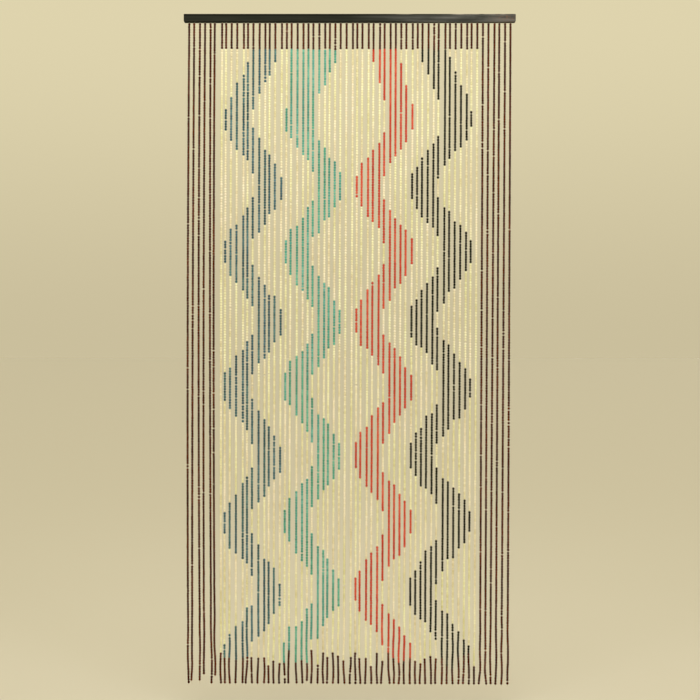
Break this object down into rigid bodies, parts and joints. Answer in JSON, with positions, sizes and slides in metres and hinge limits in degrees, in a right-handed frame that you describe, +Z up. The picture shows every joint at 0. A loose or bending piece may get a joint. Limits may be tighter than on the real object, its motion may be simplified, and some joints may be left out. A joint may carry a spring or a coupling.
{
  "type": "beaded string curtain on a rail",
  "caption": "Beaded string curtain for a doorway: strands of small barrel beads in wavy bands, hung from a narrow wooden rail.",
  "frame": {"origin": "centre of the rail's back face", "axes": "+Z up, +X along the rail to the right as seen from the front, +Y from the front towards what the rail is fixed to"},
  "size_m": [1, 0.02, 2.0211],
  "materials": {
    "rail_paint": "wooden batten with worn black satin paint",
    "beads": "glossy beads, cream with brown borders and wavy bands of blue, turquoise, coral and black",
    "thread": "pale twisted cotton thread",
    "staple": "dull steel wire"
  },
  "bodies": {
    "root": {"rail": "rail_paint", "strands": "beads"}
  },
  "joints": []
}
